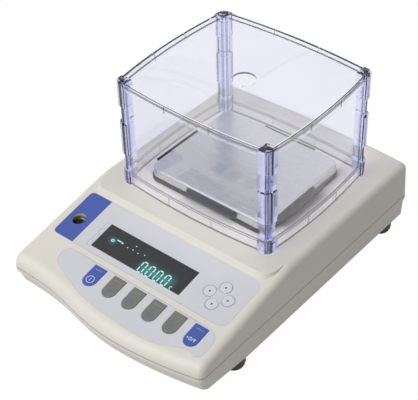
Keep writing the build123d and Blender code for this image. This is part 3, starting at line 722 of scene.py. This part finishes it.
def clover():
    """Four arcs, one round each key, joined where the lobes meet."""
    points = []
    for lobe in range(4):
        lobe_turn = math.radians(90 * lobe)
        x = arrow_x + ARROW_OFFSET * math.cos(lobe_turn)
        s = arrow_s + ARROW_OFFSET * math.sin(lobe_turn)
        for degrees in range(-LOBE_SWEEP, LOBE_SWEEP + 1, LOBE_STEP):
            turn = lobe_turn + math.radians(degrees)
            points += arc(x, s, ARROW_RADIUS, ARROW_RADIUS, [turn])
    return points


plate("arrow_outline", stroke(clover(), 0.4, True), FLAT_ON_FILM, soft_ink, "base")
for name in ARROWS:
    x, s, top = panel_middle(name)
    turn = math.atan2(s - arrow_s, x - arrow_x)
    tip = arc(x, s, POINTER_RADIUS, POINTER_RADIUS, [turn, turn + 2.2, turn - 2.2])
    plate(name + "_pointer", [tip], on_panel(0, 0, top + PRINT_THICKNESS / 2), dark_ink, name)
print("arrow pad middle", round(arrow_x, 1), round(arrow_s, 1))

# %% [markdown]
# ## Painted shade lines and brackets
# Between the two films the housing shows as a narrow ridge, and a fine darker line along the edge
# of each film beside it is painted shade, where the step meets the film. Four little brackets at
# the left of the display point at its signs. They are strokes along a few points, so they need no
# drawing of their own.

# %% Painted shade lines along the ridge and brackets by the display
UPPER_FILM_EDGE = -86.0
LOWER_FILM_EDGE = -92.2
FINE_LINE = 0.35
edges = [bar((-99, UPPER_FILM_EDGE), (96, UPPER_FILM_EDGE), FINE_LINE)]
edges.append(bar((-66, LOWER_FILM_EDGE), (84, LOWER_FILM_EDGE), FINE_LINE))
plate("ridge_shade_lines", edges, FLAT_ON_FILM, film_edge_shade, "base")

BRACKET_X = -61.8
BRACKET_WIDTH = 3.6
BRACKET_PITCH = 8.2
BRACKET_TOP = -49.4
brackets = []
for i in range(4):
    top = BRACKET_TOP - i * BRACKET_PITCH
    x = BRACKET_X - BRACKET_WIDTH
    bends = [(BRACKET_X, top), (x, top - 0.8), (x, top - 6.2), (BRACKET_X, top - 7.0)]
    brackets += stroke(bends, FINE_LINE)
plate("display_brackets", brackets, FLAT_ON_FILM, soft_ink, "base")
print("brackets:", len(brackets))

# %% [markdown]
# ## Floor and backdrop
# The picture has a plain white ground. The floor shows as almost white to the camera and in
# reflections, and keeps a faint shadow, while for scattered light it is a plain pale board, so it
# doesn't flood the balance's sides.

# %% White ground
FLOOR_HALF = 6.0
BOARD_COLOUR = paint(190, 190, 190)
SHADOW_SHARE = 0.05


def seen_directly(tree):
    """One for camera, mirror and see-through rays, nought for scattered light."""
    path = add(tree, "LightPath").outputs
    seen = compute(tree, "MAXIMUM", path["Is Camera Ray"], path["Is Glossy Ray"])
    return compute(tree, "MAXIMUM", seen, path["Is Transmission Ray"])


def white_ground():
    """Almost white where it is seen, a pale board for scattered light."""
    material, tree, shader = blank("white_ground")[:3]
    tree.nodes.remove(shader)
    board = add(tree, "BsdfDiffuse", Color=BOARD_COLOUR)
    shine = add(tree, "Emission", Color=(1, 1, 1, 1), Strength=1 - SHADOW_SHARE / 2)
    pale = add(tree, "BsdfDiffuse", Color=(*[SHADOW_SHARE] * 3, 1))
    bright = add(tree, "AddShader", i0=shine.outputs[0], i1=pale.outputs[0])
    mix = add(tree, "MixShader", i0=seen_directly(tree), i1=board.outputs[0], i2=bright.outputs[0])
    tree.links.new(mix.outputs[0], tree.nodes["Material Output"].inputs["Surface"])
    return material


square = ((-1, -1), (1, -1), (1, 1), (-1, 1))
floor_corners = [(x * FLOOR_HALF, y * FLOOR_HALF, 0) for x, y in square]
floor_mesh = bpy.data.meshes.new("floor")
floor_mesh.from_pydata(floor_corners, [], [(0, 1, 2, 3)])
floor = bpy.data.objects.new("floor", floor_mesh)
bpy.context.scene.collection.objects.link(floor)
wear(floor, white_ground())
print("floor", 2 * FLOOR_HALF, "m across")

# %% [markdown]
# ## Light
# One large soft lamp stands high at the left front, and gives the top and the nose their light.
# The right side is left to the room, as in the photograph, so it is much darker. The lamp's power
# is worked out from the level that it should give on a white board that faces it.

# %% Room light and the soft lamp
ROOM_LEVEL = 0.33
LAMP_LEVEL = 0.64
LAMP_SIDE = 1.4
LAMP_PLACE = Vector((-0.5, -1.4, 1.6))
LAMP_TARGET = Vector((0, 0, 0.05))

world = bpy.data.worlds.new("studio")
bpy.context.scene.world = world
world.use_nodes = True
tree = world.node_tree
room = tree.nodes["Background"]
room.inputs["Color"].default_value = (1, 1, 1, 1)
room.inputs["Strength"].default_value = ROOM_LEVEL
white = add(tree, "Background", Color=(1, 1, 1, 1), Strength=1.0)
mix = add(tree, "MixShader", i0=seen_directly(tree), i1=room.outputs[0], i2=white.outputs[0])
tree.links.new(mix.outputs[0], tree.nodes["World Output"].inputs["Surface"])

lamp = bpy.data.objects.new("key_lamp", bpy.data.lights.new("key_lamp", "AREA"))
bpy.context.scene.collection.objects.link(lamp)
away = LAMP_PLACE - LAMP_TARGET
lamp.data.shape = "RECTANGLE"
lamp.data.size = LAMP_SIDE
lamp.data.size_y = LAMP_SIDE
lamp.data.energy = LAMP_LEVEL * math.pi**2 * away.length_squared
lamp.location = LAMP_PLACE
lamp.rotation_mode = "QUATERNION"
lamp.rotation_quaternion = away.to_track_quat("Z", "Y")
lamp.visible_transmission = False
print("the lamp gives", round(lamp.data.energy, 1), "W")
